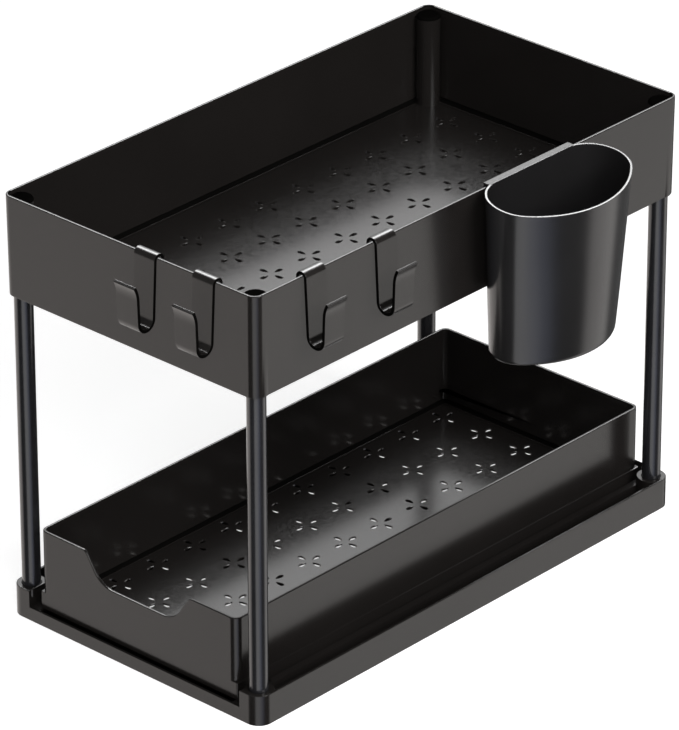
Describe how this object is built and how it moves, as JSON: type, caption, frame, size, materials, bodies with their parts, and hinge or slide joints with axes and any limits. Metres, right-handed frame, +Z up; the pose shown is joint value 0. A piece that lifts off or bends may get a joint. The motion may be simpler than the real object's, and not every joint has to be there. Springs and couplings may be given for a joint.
{
  "type": "under sink organizer",
  "caption": "Two-tier under sink organizer: slotted upper tray on round posts over a pull-out scooped drawer, with rim hooks and a hang-on cup.",
  "frame": {"origin": "middle of the base's front bottom edge, on the floor that the object stands on", "axes": "+Z up, +X to the right seen from the front, +Y to the back; the drawer pulls out towards -Y"},
  "size_m": [0.2806, 0.4232, 0.304],
  "materials": {
    "body_plastic": "satin moulded plastic",
    "post_paint": "satin grey paint on a thin tube",
    "hook_plastic": "satin moulded plastic",
    "cup_plastic": "glossy moulded plastic"
  },
  "bodies": {
    "stand": {"base": "body_plastic", "post_front_left": "post_paint", "post_front_right": "post_paint", "post_rear_left": "post_paint", "post_rear_right": "post_paint", "upper_tray": "body_plastic"},
    "drawer_body": {"drawer": "body_plastic"},
    "hook_front_mid_body": {"hook_front_mid": "hook_plastic"},
    "hook_front_near_body": {"hook_front_near": "hook_plastic"},
    "hook_side_near_body": {"hook_side_near": "hook_plastic"},
    "hook_side_mid_body": {"hook_side_mid": "hook_plastic"},
    "cup_body": {"cup": "cup_plastic"}
  },
  "joints": [
    {"name": "drawer_slide", "type": "slide", "parent": "stand", "child": "drawer_body", "axis": [0, -1, 0], "range_m": [0, 0.3]},
    {"name": "hook_front_mid_lift", "type": "slide", "parent": "stand", "child": "hook_front_mid_body", "axis": [0, 0, 1], "range_m": [0, 0.02]},
    {"name": "hook_front_near_lift", "type": "slide", "parent": "stand", "child": "hook_front_near_body", "axis": [0, 0, 1], "range_m": [0, 0.02]},
    {"name": "hook_side_near_lift", "type": "slide", "parent": "stand", "child": "hook_side_near_body", "axis": [0, 0, 1], "range_m": [0, 0.02]},
    {"name": "hook_side_mid_lift", "type": "slide", "parent": "stand", "child": "hook_side_mid_body", "axis": [0, 0, 1], "range_m": [0, 0.02]},
    {"name": "cup_lift", "type": "slide", "parent": "stand", "child": "cup_body", "axis": [0, 0, 1], "range_m": [0, 0.03]}
  ]
}
